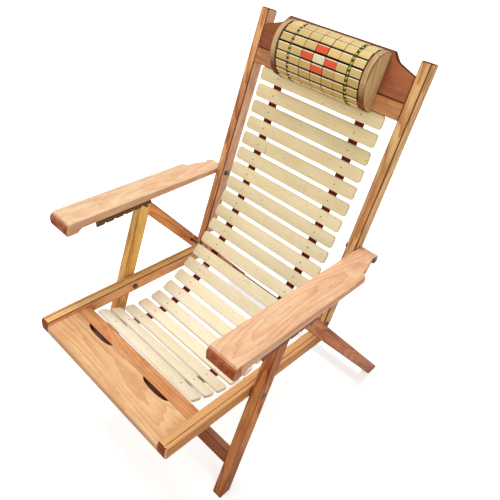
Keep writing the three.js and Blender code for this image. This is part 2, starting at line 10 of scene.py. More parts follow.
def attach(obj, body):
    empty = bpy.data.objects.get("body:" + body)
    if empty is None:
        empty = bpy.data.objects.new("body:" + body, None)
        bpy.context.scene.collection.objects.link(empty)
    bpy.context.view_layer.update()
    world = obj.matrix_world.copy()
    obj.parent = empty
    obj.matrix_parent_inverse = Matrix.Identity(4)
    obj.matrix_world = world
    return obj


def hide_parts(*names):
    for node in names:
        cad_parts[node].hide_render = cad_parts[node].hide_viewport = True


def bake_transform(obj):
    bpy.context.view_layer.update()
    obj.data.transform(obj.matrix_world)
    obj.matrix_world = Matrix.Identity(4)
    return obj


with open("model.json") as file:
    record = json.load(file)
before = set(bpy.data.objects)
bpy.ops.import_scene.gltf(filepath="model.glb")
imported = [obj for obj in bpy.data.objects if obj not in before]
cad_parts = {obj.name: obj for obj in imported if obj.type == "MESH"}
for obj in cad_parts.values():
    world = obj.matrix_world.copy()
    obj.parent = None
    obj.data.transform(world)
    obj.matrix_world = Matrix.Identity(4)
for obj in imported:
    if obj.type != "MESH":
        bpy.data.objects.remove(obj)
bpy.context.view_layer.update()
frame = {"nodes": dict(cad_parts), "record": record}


# Camera
# The photograph looks down on the chair from in front of its right-hand armrest, from a little below
# standing eye height, with the camera turned slightly about its own axis.
EYE = Vector((0.7737, -0.7559, 1.4062))
AIM = Vector((0.0147, 0.0814, 0.4831))
CAMERA_ROLL = 0.0726
FOCAL_MM = 39.15
SENSOR_MM = 36.0

view_line = (AIM - EYE).normalized()
level_right = view_line.cross(Vector((0, 0, 1))).normalized()
level_up = level_right.cross(view_line)
camera_right = level_right * math.cos(CAMERA_ROLL) + level_up * math.sin(CAMERA_ROLL)
camera_up = level_up * math.cos(CAMERA_ROLL) - level_right * math.sin(CAMERA_ROLL)
camera_data = bpy.data.cameras.new("photo_camera")
camera_data.lens = FOCAL_MM
camera_data.sensor_width = SENSOR_MM
camera = bpy.data.objects.new("photo_camera", camera_data)
camera.matrix_world = (
    Matrix.Translation(EYE) @ Matrix((camera_right, camera_up, -view_line)).transposed().to_4x4()
)
bpy.context.scene.collection.objects.link(camera)
bpy.context.scene.camera = camera
bpy.context.scene.view_settings.view_transform = "Standard"


# Studio
# A white floor under soft light: a broad lamp overhead, weaker ones in front and at the right, and an even
# white surround. The floor keeps a light shadow and is otherwise as white as the photograph's ground.
FLOOR_REACH = 30.0
SURROUND_STRENGTH = 0.40
FLOOR_GLOW = 0.55
LAMPS = [
    ("top_lamp", (-0.70, 0.38, 3.3), 30.0, 1.85),
    ("front_lamp", (-1.0, -2.8, 1.5), 40.0, 0.35),
    ("side_lamp", (2.6, -1.2, 1.6), 40.0, 0.65),
]


def linked(tree, *pairs):
    for source, target in pairs:
        tree.links.new(source, target)


world = bpy.data.worlds.new("studio_surround")
world.use_nodes = True
world_tree = world.node_tree
lit = world_tree.nodes["Background"]
lit.inputs["Color"].default_value = (1, 1, 1, 1)
lit.inputs["Strength"].default_value = SURROUND_STRENGTH
seen = world_tree.nodes.new("ShaderNodeBackground")
seen.inputs["Color"].default_value = (1, 1, 1, 1)
seen.inputs["Strength"].default_value = 1.0
rays = world_tree.nodes.new("ShaderNodeLightPath")
choose = world_tree.nodes.new("ShaderNodeMixShader")
linked(
    world_tree, (rays.outputs["Is Camera Ray"], choose.inputs["Fac"]), (lit.outputs[0], choose.inputs[1]),
    (seen.outputs[0], choose.inputs[2]),
    (choose.outputs[0], world_tree.nodes["World Output"].inputs["Surface"]),
)
bpy.context.scene.world = world

for lamp_name, place, spread, strength in LAMPS:
    lamp_data = bpy.data.lights.new(lamp_name, "SUN")
    lamp_data.angle = math.radians(spread)
    lamp_data.energy = strength
    lamp = bpy.data.objects.new(lamp_name, lamp_data)
    lamp.location = place
    lamp.rotation_euler = (AIM - Vector(place)).to_track_quat("-Z", "Y").to_euler()
    bpy.context.scene.collection.objects.link(lamp)

floor_mesh = bpy.data.meshes.new("floor")
floor_mesh.from_pydata(
    [(-FLOOR_REACH, -FLOOR_REACH, 0), (FLOOR_REACH, -FLOOR_REACH, 0),
     (FLOOR_REACH, FLOOR_REACH, 0), (-FLOOR_REACH, FLOOR_REACH, 0)],
    [], [(0, 1, 2, 3)],
)
floor = bpy.data.objects.new("floor", floor_mesh)
bpy.context.scene.collection.objects.link(floor)
floor_paint = bpy.data.materials.new("floor_white")
floor_paint.use_nodes = True
floor_tree = floor_paint.node_tree
floor_shader = floor_tree.nodes["Principled BSDF"]
floor_shader.inputs["Base Color"].default_value = (0.88, 0.88, 0.88, 1)
floor_shader.inputs["Roughness"].default_value = 0.9
floor_shader.inputs["Specular IOR Level"].default_value = 0.0
floor_glow = floor_tree.nodes.new("ShaderNodeEmission")
floor_glow.inputs["Color"].default_value = (1, 1, 1, 1)
floor_glow.inputs["Strength"].default_value = FLOOR_GLOW
floor_rays = floor_tree.nodes.new("ShaderNodeLightPath")
floor_sum = floor_tree.nodes.new("ShaderNodeAddShader")
floor_choose = floor_tree.nodes.new("ShaderNodeMixShader")
linked(
    floor_tree, (floor_shader.outputs[0], floor_sum.inputs[0]), (floor_glow.outputs[0], floor_sum.inputs[1]),
    (floor_rays.outputs["Is Camera Ray"], floor_choose.inputs["Fac"]),
    (floor_shader.outputs[0], floor_choose.inputs[1]), (floor_sum.outputs[0], floor_choose.inputs[2]),
    (floor_choose.outputs[0], floor_tree.nodes["Material Output"].inputs["Surface"]),
)
floor_mesh.materials.append(floor_paint)


# Seat rails
# Two long boards of varnished bamboo, rounded at the front end and grooved along the top. Like all boards of
# the frame they are sawn, planed and eased along every edge before the varnish goes on.
RAIL_TURN = math.radians(-3.5)
BOARD_EASE = 0.0022
FRAME_TONES = {
    "left": ((0.97, 0.51, 0.22), (0.68, 0.27, 0.10)),
    "right": ((0.66, 0.32, 0.115), (0.41, 0.135, 0.038)),
}
# Rail edge strips: the left rail's are worn darker; the right rail's negative value paints a highlight on
# them. RAIL_PALE is the painted light on the rails' tops and on those highlighted strips.
RAIL_WEAR_AND_HIGHLIGHT = {"left": 0.85, "right": -0.9}
RAIL_PALE = {"left": (1.0, 0.64, 0.24), "right": (0.84, 0.47, 0.19)}
# The frame's varnish stain colour; where a piece darkens faces turned from the light, it is also their
# painted shade.
VARNISH_STAIN_AND_SHADE = (0.17, 0.04, 0.014)
STRIP_WIDTH = 0.0019
WELD_DISTANCE = 2e-5
FLAT_WITHIN = math.radians(1.5)
SHARP_FROM = math.radians(28)
BOARD_ENDS = ((0, -1, 0), (0, 1, 0))
UPWARD = ((0, 0, 1),)


def body_of(node):
    for body, nodes in frame["record"]["behaviour"]["bodies"].items():
        if node in nodes:
            return body
    raise ValueError(node)


def looks_along(normal, ways):
    """How far a face looks along one of the directions: 0 to 1, less for a shorter direction."""
    facing = max((normal.dot(Vector(way)) for way in ways), default=0.0)
    return min(1.0, max(0.0, (facing - 0.25) / 0.4))


def is_strip(mesh, face):
    """Whether a face is one of the narrow strips that round an edge."""
    corners = [mesh.vertices[index].co for index in face.vertices]
    around = sum((before - after).length for before, after in zip(corners, corners[1:] + corners[:1]))
    return 2 * face.area / around < STRIP_WIDTH


def eased(node, ease=BOARD_EASE, darkened=(), strip_wear_and_highlight=1.0, pale_and_lit=(), reshape=None):
    """A copy of a CAD board with its sharp edges eased, after reshape has worked on its bmesh.

    The face attribute "edge" is 1 where the board is darkest and -1 where it is palest. It follows the
    darkened directions on the broad faces, which give end-grain stain on some pieces and painted shade on
    faces turned from the light on others, and the pale directions, which give painted light on faces turned
    to the light. On the narrow strips that round the edges it is the strip wear, and a negative value there
    paints a highlight instead."""
    piece = bpy.data.objects.new(node + "_finished", frame["nodes"][node].data.copy())
    bpy.context.scene.collection.objects.link(piece)
    shell = bmesh.new()
    shell.from_mesh(piece.data)
    bmesh.ops.remove_doubles(shell, verts=shell.verts, dist=WELD_DISTANCE)
    bmesh.ops.dissolve_limit(shell, angle_limit=FLAT_WITHIN, verts=shell.verts, edges=shell.edges)
    if reshape:
        reshape(shell)
    for face in shell.faces:
        face.smooth = True
        face.material_index = 0
    shell.to_mesh(piece.data)
    shell.free()
    piece.data.materials.clear()
    for _ in range(2):
        piece.data.materials.append(None)
    bevel = piece.modifiers.new("eased_edges", "BEVEL")
    bevel.width = ease
    bevel.segments = 2
    bevel.limit_method = "ANGLE"
    bevel.angle_limit = SHARP_FROM
    bevel.harden_normals = True
    bevel.material = 1
    evaluated = piece.evaluated_get(bpy.context.evaluated_depsgraph_get())
    finished = bpy.data.meshes.new_from_object(evaluated)
    piece.modifiers.clear()
    piece.data = finished
    edge = finished.attributes.new("edge", "FLOAT", "FACE")
    for face in finished.polygons:
        strip = face.material_index == 1 or is_strip(finished, face)
        stain_and_shade = looks_along(face.normal, darkened)
        if strip:
            # A negative strip value paints a highlight on the strips instead of wear.
            stain_and_shade = max(stain_and_shade, strip_wear_and_highlight) if strip_wear_and_highlight > 0 else strip_wear_and_highlight
        edge.data[face.index].value = stain_and_shade or -looks_along(face.normal, pale_and_lit)
        face.material_index = 0
    return piece


def dressed(piece, node, material, bend=None):
    """Gives a finished piece its material and puts it in its CAD node's place. It rides the node's body, or,
    where a bend is given, is baked where it stands and rides no body."""
    piece.data.materials.clear()
    piece.data.materials.append(material)
    if bend:
        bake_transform(piece)
    else:
        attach(piece, body_of(node))
    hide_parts(node)
    return piece


def new_group(name, inputs, outputs):
    group = bpy.data.node_groups.new(name, "ShaderNodeTree")
    for label, kind, value in inputs:
        socket = group.interface.new_socket(label, in_out="INPUT", socket_type="NodeSocket" + kind)
        if value is not None:
            socket.default_value = value
    for label, kind in outputs:
        group.interface.new_socket(label, in_out="OUTPUT", socket_type="NodeSocket" + kind)
    return group, group.nodes.new("NodeGroupInput").outputs, group.nodes.new("NodeGroupOutput").inputs


def noise_along(tree, vector, scale, detail=3.0, distortion=0.0):
    """Noise stretched by its own scale on each axis."""
    stretch = tree.nodes.new("ShaderNodeMapping")
    stretch.inputs["Scale"].default_value = scale
    noise = tree.nodes.new("ShaderNodeTexNoise")
    noise.inputs["Scale"].default_value = 1.0
    noise.inputs["Detail"].default_value = detail
    noise.inputs["Roughness"].default_value = 0.6
    noise.inputs["Distortion"].default_value = distortion
    linked(tree, (vector, stretch.inputs["Vector"]), (stretch.outputs[0], noise.inputs["Vector"]))
    return noise.outputs["Fac"]


def ranged(tree, value, low, high, to_low=0.0, to_high=1.0):
    span = tree.nodes.new("ShaderNodeMapRange")
    for label, number in (("From Min", low), ("From Max", high), ("To Min", to_low), ("To Max", to_high)):
        span.inputs[label].default_value = number
    tree.links.new(value, span.inputs["Value"])
    return span.outputs["Result"]


def calculated(tree, operation, a, b):
    """A Math node; a and b are sockets or numbers."""
    node = tree.nodes.new("ShaderNodeMath")
    node.operation = operation
    for value, socket in ((a, node.inputs[0]), (b, node.inputs[1])):
        if isinstance(value, (int, float)):
            socket.default_value = value
        else:
            tree.links.new(value, socket)
    return node.outputs[0]


def mixed(tree, factor, a, b):
    """A colour mix; a and b are sockets or colours."""
    mix = tree.nodes.new("ShaderNodeMix")
    mix.data_type = "RGBA"
    tree.links.new(factor, mix.inputs["Factor"])
    for value, socket in ((a, mix.inputs["A"]), (b, mix.inputs["B"])):
        if isinstance(value, tuple):
            socket.default_value = (*value, 1)
        else:
            tree.links.new(value, socket)
    return mix.outputs["Result"]


BOARD_GLOSS = 0.10


def board_grain():
    """Varnished board: ring figure drawn out along X, fine fibres, pores and cloudy stain. A positive Edge
    darkens towards the stain colour for worn edges, end-grain stain and painted shade; a negative Edge paints
    light with the pale colour.
    """
    group, given, made = new_group(
        "board_grain",
        [
            ("Vector", "Vector", None), ("Edge", "Float", 0.0), ("Light", "Color", None),
            ("Dark", "Color", None), ("Stain_and_shade", "Color", None), ("Painted_light", "Color", None),
            ("Figure", "Float", 0.5), ("Blotch", "Float", 0.5),
        ],
        [("Color", "Color"), ("Roughness", "Float"), ("Gloss", "Float"), ("Height", "Float")],
    )
    vector = given["Vector"]
    contour = noise_along(group, vector, (1.5, 11.0, 11.0), 1.0, 0.25)
    ripple = calculated(group, "MULTIPLY", noise_along(group, vector, (9.0, 90.0, 90.0), 2.0), 0.05)
    rings = calculated(group, "MULTIPLY", calculated(group, "ADD", contour, ripple), 15.0)
    ring_lines = ranged(group, calculated(group, "FRACT", rings, 0.0), 0.35, 1.0)
    fibres = ranged(group, noise_along(group, vector, (6.0, 420.0, 420.0), 3.0), 0.34, 0.66)
    clouds = ranged(group, noise_along(group, vector, (5.0, 18.0, 18.0), 3.0, 0.7), 0.36, 0.66)
    pores = ranged(group, noise_along(group, vector, (36.0, 1100.0, 1100.0), 2.0), 0.60, 0.70)
    blotches = ranged(group, noise_along(group, vector, (14.0, 32.0, 32.0), 4.0, 0.4), 0.50, 0.74)
    figure = calculated(group, "MULTIPLY", ring_lines, given["Figure"])
    tone = calculated(group, "ADD", calculated(group, "MULTIPLY", fibres, 0.28), figure)
    tone = calculated(group, "ADD", tone, calculated(group, "MULTIPLY", clouds, 0.5))
    colour = mixed(group, ranged(group, tone, 0.05, 1.15), given["Light"], given["Dark"])
    # Painted light: a negative edge value lightens the face towards the pale colour.
    painted_light_mask = ranged(group, given["Edge"], 0.0, -1.0, 0.0, 0.7)
    colour = mixed(group, painted_light_mask, colour, given["Painted_light"])
    darkened = calculated(group, "MULTIPLY", blotches, calculated(group, "MULTIPLY", given["Blotch"], 0.6))
    darkened = calculated(group, "MAXIMUM", darkened, calculated(group, "MULTIPLY", pores, 0.4))
    # A positive edge value darkens towards the stain colour: worn edges, end-grain stain, and painted shade
    # on faces turned from the light.
    edge_patchiness = ranged(group, noise_along(group, vector, (12.0, 30.0, 30.0), 3.0), 0.35, 0.6, 0.8, 1.0)
    wear_stain_and_shade_mask = calculated(group, "MULTIPLY", calculated(group, "MAXIMUM", given["Edge"], 0.0), edge_patchiness)
    colour = mixed(group, calculated(group, "MAXIMUM", darkened, wear_stain_and_shade_mask), colour, given["Stain_and_shade"])
    linked(
        group, (colour, made["Color"]), (ranged(group, fibres, 0.0, 1.0, 0.34, 0.50), made["Roughness"]),
        (calculated(group, "SUBTRACT", fibres, pores), made["Height"]),
        (ranged(group, wear_stain_and_shade_mask, 0.0, 1.0, BOARD_GLOSS, 0.0), made["Gloss"]),
    )
    return group


BOARD_GRAIN = board_grain()


def board_varnish(
    name, turn, light, dark, stain_and_shade=VARNISH_STAIN_AND_SHADE, pale_and_lit=None, figure=0.4, blotch=0.5, offset=0.0, across=False,
):
    """Grain along a board that lies at a turn in side view, or across the chair."""
    material = bpy.data.materials.new(name)
    material.use_nodes = True
    tree = material.node_tree
    shader = tree.nodes["Principled BSDF"]
    place = tree.nodes.new("ShaderNodeTexCoord")
    lay = tree.nodes.new("ShaderNodeMapping")
    lay.inputs["Rotation"].default_value = (0.0, 0.0, 0.0) if across else (-turn, 0.0, -math.pi / 2)
    heart = 0.05 + 0.02 * math.sin(offset * 5.0)
    lay.inputs["Location"].default_value = (offset * 3.1, heart, 0.04 + 0.01 * offset)
    edge = tree.nodes.new("ShaderNodeAttribute")
    edge.attribute_name = "edge"
    grain = tree.nodes.new("ShaderNodeGroup")
    grain.node_tree = BOARD_GRAIN
    grain.inputs["Light"].default_value = (*light, 1)
    grain.inputs["Dark"].default_value = (*dark, 1)
    grain.inputs["Stain_and_shade"].default_value = (*stain_and_shade, 1)
    grain.inputs["Painted_light"].default_value = (*(pale_and_lit or light), 1)
    grain.inputs["Figure"].default_value = figure
    grain.inputs["Blotch"].default_value = blotch
    bump = tree.nodes.new("ShaderNodeBump")
    bump.inputs["Strength"].default_value = 0.18
    bump.inputs["Distance"].default_value = 0.0005
    linked(
        tree, (place.outputs["Object"], lay.inputs["Vector"]), (lay.outputs[0], grain.inputs["Vector"]),
        (edge.outputs["Fac"], grain.inputs["Edge"]), (grain.outputs["Color"], shader.inputs["Base Color"]),
        (grain.outputs["Roughness"], shader.inputs["Roughness"]),
        (grain.outputs["Height"], bump.inputs["Height"]),
        (bump.outputs["Normal"], shader.inputs["Normal"]),
        (grain.outputs["Gloss"], shader.inputs["Specular IOR Level"]),
        (calculated(tree, "MULTIPLY", grain.outputs["Gloss"], 0.4), shader.inputs["Coat Weight"]),
    )
    shader.inputs["Coat Roughness"].default_value = 0.2
    return material


for side, offset in (("left", 0.31), ("right", 1.17)):
    rail_varnish = board_varnish(
        "rail_varnish_" + side, RAIL_TURN, *FRAME_TONES[side], pale_and_lit=RAIL_PALE[side], figure=0.55,
        offset=offset,
    )
    # Painted light: the rails' tops are painted paler. Their front and rear ends darken with end-grain stain.
    seat_rail = eased("seat_rail_" + side, darkened=BOARD_ENDS, pale_and_lit=UPWARD, strip_wear_and_highlight=RAIL_WEAR_AND_HIGHLIGHT[side])
    dressed(seat_rail, "seat_rail_" + side, rail_varnish)


# Front boards
# The footboard's rounded nose is flush with the rails' ends, and two leaf-shaped vents are cut in its rear
# edge. Behind it lies a narrower board of redder stock.
FOOTBOARD_LIGHT = (0.92, 0.59, 0.31)
FOOTBOARD_DARK = (0.69, 0.33, 0.14)
FOOTBOARD_STAIN_AND_SHADE = (0.30, 0.09, 0.035)
FOOTBOARD_NOSE = (0, -0.5, -0.5)
CROSS_LIGHT = (0.84, 0.41, 0.17)
CROSS_DARK = (0.56, 0.20, 0.07)
CROSS_STAIN_AND_VENT_SHADE = (0.20, 0.035, 0.02)
CROSS_UNDER_DROP = 0.005

footboard_varnish = board_varnish(
    "footboard_varnish", 0.0, FOOTBOARD_LIGHT, FOOTBOARD_DARK, FOOTBOARD_STAIN_AND_SHADE, figure=0.6, blotch=0.3,
    offset=2.4, across=True,
)
# Painted shade: the nose's front-and-under faces and the rear-facing faces, the vents' walls among them,
# darken towards the footboard's stain colour.
footboard = eased("footboard", 0.0011, darkened=(FOOTBOARD_NOSE, (0, 1, 0)), strip_wear_and_highlight=0.5)
dressed(footboard, "footboard", footboard_varnish)
cross_varnish = board_varnish(
    "cross_board_varnish", 0.0, CROSS_LIGHT, CROSS_DARK, CROSS_STAIN_AND_VENT_SHADE, figure=0.5, offset=3.3, across=True,
)
# Painted shade: the cross board's front and rear faces are darkened, so that the vents show dark.
cross_board = eased("front_cross_board", darkened=BOARD_ENDS)
cross_heights = [vertex.co.z for vertex in cross_board.data.vertices]
cross_middle = (min(cross_heights) + max(cross_heights)) / 2
for vertex in cross_board.data.vertices:
    if vertex.co.z < cross_middle:
        vertex.co.z -= CROSS_UNDER_DROP
dressed(cross_board, "front_cross_board", cross_varnish)


# Legs
# Straight posts of the same stock, crossed and pinned under the armrests and tied by a stretcher near the
# floor, front and rear.
FRONT_LEG_TURN = math.radians(70)
REAR_LEG_TURN = math.radians(-51.4)
LEG_WORN = 0.5
LEGS = {
    "front_leg_left": (FRONT_LEG_TURN, (1.0, 0.63, 0.18), (0.66, 0.26, 0.06), 4.2),
    "rear_leg_left": (REAR_LEG_TURN, (0.98, 0.46, 0.16), (0.50, 0.14, 0.04), 4.6),
    "front_leg_right": (FRONT_LEG_TURN, (0.68, 0.27, 0.075), (0.27, 0.055, 0.017), 5.1),
    "rear_leg_right": (REAR_LEG_TURN, (0.66, 0.22, 0.06), (0.29, 0.06, 0.018), 5.5),
}
# Painted shade: the stretchers' tones are darkened for the shade under the seat, the rear one nearly black so
# that it shows as a dark line between the slats.
STRETCHERS = {
    "front_stretcher": ((0.44, 0.17, 0.08), (0.24, 0.07, 0.03), 6.3),
    "rear_stretcher": ((0.14, 0.045, 0.02), (0.08, 0.02, 0.01), 6.8),
}
STRETCHER_PALE = (0.52, 0.25, 0.15)
STRETCHER_FRONT = ((0, -0.5, 0),)

for leg, (turn, light, dark, offset) in LEGS.items():
    varnish = board_varnish(leg + "_varnish", turn, light, dark, figure=0.65, blotch=0.8, offset=offset)
    dressed(eased(leg, strip_wear_and_highlight=LEG_WORN), leg, varnish)
for stretcher, (light, dark, offset) in STRETCHERS.items():
    varnish = board_varnish(
        stretcher + "_varnish", 0.0, light, dark, pale_and_lit=STRETCHER_PALE, figure=0.7, offset=offset, across=True,
    )
    # Painted light and shade: their tops are painted paler and their fronts darker.
    dressed(eased(stretcher, darkened=STRETCHER_FRONT, pale_and_lit=UPWARD), stretcher, varnish)


# Back stiles and crest
# Two tall stiles hold a dark stained crest board with dropped shoulders and a lighter rail under it. All are
# of the same sawn and varnished stock as the seat frame.
STILE_TURN = math.radians(90 - 19.07)
STILE_TONES = {
    "left": ((0.94, 0.49, 0.20), (0.47, 0.15, 0.05)),
    "right": ((0.89, 0.56, 0.23), (0.53, 0.22, 0.075)),
}
STILE_TOP = ((0, 0.33, 0.94),)
STILE_INNER = {"left": (0.55, 0, 0), "right": (-0.55, 0, 0)}
STILE_PALE = (0.86, 0.54, 0.38)
CREST_LIGHT = (0.48, 0.16, 0.064)
CREST_DARK = (0.29, 0.075, 0.03)
CREST_STAIN_AND_SHADE = (0.10, 0.025, 0.015)
CREST_RAIL_LIGHT = (0.70, 0.33, 0.13)
CREST_RAIL_DARK = (0.46, 0.16, 0.055)
CREST_FLAT_HALF = 0.170
CREST_SHOULDER_RUN = 0.056
CREST_SHOULDER_SHIFT = 0.013

for side, offset in (("left", 7.2), ("right", 8.4)):
    stile_varnish = board_varnish(
        "stile_varnish_" + side, STILE_TURN, *STILE_TONES[side], pale_and_lit=STILE_PALE, figure=0.8, blotch=0.8,
        offset=offset,
    )
    # Painted light: each stile's inner face is painted paler.
    stile = eased("stile_" + side, darkened=STILE_TOP, pale_and_lit=(STILE_INNER[side],))
    dressed(stile, "stile_" + side, stile_varnish)
crest_stain_and_shade = board_varnish(
    "crest_stain_and_shade", 0.0, CREST_LIGHT, CREST_DARK, CREST_STAIN_AND_SHADE, figure=0.2, offset=9.1, across=True,
)
# Painted shade: the crest board's top face darkens towards its stain colour, along the pillow's top.
crest_board = eased("crest_board", darkened=STILE_TOP)
for vertex in crest_board.data.vertices:
    side_share = max(0.0, 1.0 - abs(abs(vertex.co.x) - CREST_FLAT_HALF) / CREST_SHOULDER_RUN)
    vertex.co.x -= math.copysign(CREST_SHOULDER_SHIFT * side_share, vertex.co.x)
dressed(crest_board, "crest_board", crest_stain_and_shade)
crest_rail_varnish = board_varnish(
    "crest_rail_varnish", 0.0, CREST_RAIL_LIGHT, CREST_RAIL_DARK, blotch=0.7, offset=9.9, across=True,
)
dressed(eased("crest_rail"), "crest_rail", crest_rail_varnish)


# Armrests
# Broad boards, planed thinner to the rear, with a rolled lip in front and a notched tongue behind. Two thin
# racks under each take the legs' top pins.
ARM_TURN = math.radians(-2.6)
ARM_TONES = {
    "left": ((0.99, 0.73, 0.46), (0.80, 0.42, 0.24)),
    "right": ((0.98, 0.67, 0.41), (0.74, 0.31, 0.17)),
}
ARM_STAIN_AND_SHADE = (0.29, 0.055, 0.018)
# Painted shade: the armrests' fronts, undersides and sides darken towards the armrests' stain colour, which
# also gives the grain's reddish blotches.
ARM_SHADED = ((0, -0.80, 0), (0, 0, -1), (0.42, 0, 0), (-0.42, 0, 0))
ARM_ROLL = 0.022
ARM_ROLL_STEPS = 7
ARM_CORNER = 0.006
RACK_TONES = {
    "left": ((0.17, 0.10, 0.035), (0.09, 0.045, 0.018)),
    "right": ((0.22, 0.075, 0.03), (0.12, 0.035, 0.015)),
}


def round_lost(depth, radius):
    """How much a quarter round takes off at that depth behind the front."""
    return radius - math.sqrt(radius ** 2 - max(0.0, radius - max(0.0, depth)) ** 2)


def roll_front(shell):
    """Rolls an armrest's front over into the top and rounds its front corners."""
    front = min(vertex.co.y for vertex in shell.verts)
    for step in range(1, ARM_ROLL_STEPS + 1):
        depth = ARM_ROLL * (1 - math.cos(math.pi / 2 * step / ARM_ROLL_STEPS))
        everything = [*shell.verts, *shell.edges, *shell.faces]
        bmesh.ops.bisect_plane(shell, geom=everything, plane_co=(0, front + depth, 0), plane_no=(0, 1, 0))
    near = [vertex for vertex in shell.verts if vertex.co.y < front + ARM_ROLL]
    top = max(vertex.co.z for vertex in near)
    sides = [vertex.co.x for vertex in near]
    middle, half = (min(sides) + max(sides)) / 2, (max(sides) - min(sides)) / 2
    for vertex in near:
        depth = vertex.co.y - front
        share = max(0.0, 1 - (top - vertex.co.z) / ARM_ROLL)
        vertex.co.z -= round_lost(depth, ARM_ROLL) * share
        share = max(0.0, 1 - (half - abs(vertex.co.x - middle)) / ARM_CORNER)
        vertex.co.x -= math.copysign(round_lost(depth, ARM_CORNER) * share, vertex.co.x - middle)


def shade_lip(armrest):
    """Paints shade on the rolled lip: its front, outer side and underside are darkened."""
    front = min(vertex.co.y for vertex in armrest.data.vertices)
    edge = armrest.data.attributes["edge"]
    for face in armrest.data.polygons:
        outward = face.normal.x * math.copysign(1, face.center.x)
        if outward > -0.3 and face.normal.z < 0.5 and face.center.y < front + ARM_ROLL:
            edge.data[face.index].value = max(edge.data[face.index].value, 0.8)


for side, offset in (("left", 10.6), ("right", 11.8)):
    arm_varnish = board_varnish(
        "armrest_varnish_" + side, ARM_TURN, *ARM_TONES[side], ARM_STAIN_AND_SHADE, figure=0.4, blotch=0.35,
        offset=offset,
    )
    rack_stain = board_varnish("rack_stain_" + side, 0.0, *RACK_TONES[side], figure=0.2, offset=offset + 0.5)
    armrest = eased("armrest_" + side, darkened=ARM_SHADED, strip_wear_and_highlight=0.15, reshape=roll_front)
    shade_lip(armrest)
    dressed(armrest, "armrest_" + side, arm_varnish)
    for rack in ("inner_rack_", "outer_rack_"):
        dressed(eased(rack + side, 0.0005), rack + side, rack_stain)


# Slats
# Split bamboo slats, planed flat and left pale under a thin satin coat. Each has its own tint, long fibres
# and a faint knuckle or two where the culm's joints were planed away.
SLAT_TOP_LIGHT = Vector((0.93, 0.77, 0.44))
SLAT_TOP_DARK = Vector((0.78, 0.59, 0.27))
SLAT_FRONT_LIGHT = Vector((0.98, 0.92, 0.77))
SLAT_FRONT_DARK = Vector((0.93, 0.81, 0.54))
SLAT_STAIN = (0.25, 0.15, 0.06)
SLAT_RUNS = {"back": 8, "lumbar": 5, "seat": 8}


def slat_middle(node):
    corners = [vertex.co for vertex in frame["nodes"][node].data.vertices]
    return sum(corners, Vector()) / len(corners)


# The mat hangs free between its ends. The table gives each run the two bodies and the two points between
# which
# it would bend: in reclining, the back run's foot would turn half as far as the back, as the lumbar run does,
# and the lumbar run's own foot would stay by the seat, and in folding the two runs would still part. Nothing
# below bends a run: a run with an entry is baked where it stands and rides no body.
back_foot = slat_middle("back_slat_8")
back_bend_reach = slat_middle("back_slat_1") - back_foot
MAT_BENDS = {
    "back": ("rear_pivots", "back_frame", back_foot - back_bend_reach, back_foot + back_bend_reach),
    "lumbar": ("seat_frame", "lumbar_mat", slat_middle("lumbar_slat_5"), slat_middle("lumbar_slat_1")),
    "seat": None,
}


def slat_bamboo(name, offset, light, dark):
    material = bpy.data.materials.new(name)
    material.use_nodes = True
    tree = material.node_tree
    shader = tree.nodes["Principled BSDF"]
    place = tree.nodes.new("ShaderNodeTexCoord")
    lay = tree.nodes.new("ShaderNodeMapping")
    lay.inputs["Location"].default_value = (offset, offset * 0.31, offset * 0.17)
    vector = lay.outputs[0]
    fibres = ranged(tree, noise_along(tree, vector, (4.0, 520.0, 520.0), 3.0), 0.32, 0.68)
    clouds = ranged(tree, noise_along(tree, vector, (9.0, 22.0, 22.0), 3.0, 0.5), 0.35, 0.70)
    knuckles = ranged(tree, noise_along(tree, vector, (26.0, 3.0, 3.0), 1.0), 0.735, 0.76)
    specks = ranged(tree, noise_along(tree, vector, (90.0, 260.0, 260.0), 1.0), 0.70, 0.76)
    edge = tree.nodes.new("ShaderNodeAttribute")
    edge.attribute_name = "edge"
    tone = calculated(
        tree, "ADD", calculated(tree, "MULTIPLY", fibres, 0.45), calculated(tree, "MULTIPLY", clouds, 0.5),
    )
    colour = mixed(tree, tone, light, dark)
    faint_knuckles = calculated(tree, "MULTIPLY", knuckles, 0.3)
    marks = calculated(tree, "MAXIMUM", faint_knuckles, calculated(tree, "MULTIPLY", specks, 0.5))
    marks = calculated(tree, "MAXIMUM", marks, calculated(tree, "MULTIPLY", edge.outputs["Fac"], 0.6))
    colour = mixed(tree, marks, colour, SLAT_STAIN)
    bump = tree.nodes.new("ShaderNodeBump")
    bump.inputs["Strength"].default_value = 0.2
    bump.inputs["Distance"].default_value = 0.0004
    linked(
        tree, (place.outputs["Object"], lay.inputs["Vector"]), (colour, shader.inputs["Base Color"]),
        (ranged(tree, fibres, 0.0, 1.0, 0.42, 0.56), shader.inputs["Roughness"]),
        (fibres, bump.inputs["Height"]), (bump.outputs["Normal"], shader.inputs["Normal"]),
    )
    return material


slat_number = 0
for run, count in SLAT_RUNS.items():
    for number in range(1, count + 1):
        slat_number += 1
        tint = 1.0 + 0.04 * math.sin(slat_number * 2.3 - 2.0)
        # Painted light: the slats grow paler from the top of the back towards the front of the seat.
        forward = (slat_number / sum(SLAT_RUNS.values())) ** 1.5
        light = tuple(SLAT_TOP_LIGHT.lerp(SLAT_FRONT_LIGHT, forward) * tint)
        dark = tuple(SLAT_TOP_DARK.lerp(SLAT_FRONT_DARK, forward) * tint)
        name = f"{run}_slat_{number}"
        slat_finish = slat_bamboo(name + "_bamboo", slat_number * 0.83, light, dark)
        dressed(eased(name, 0.0009, strip_wear_and_highlight=0.35), name, slat_finish, MAT_BENDS[run])


# Straps
# Two dark red-brown woven straps run under the whole mat and carry the slats. They show only in the gaps
# between slats, and from behind.
STRAP_LIGHT = (0.22, 0.018, 0.010)
STRAP_DARK = (0.09, 0.008, 0.004)
STRAP_CUTS = 30
STRAP_PAST_SLATS = 0.1


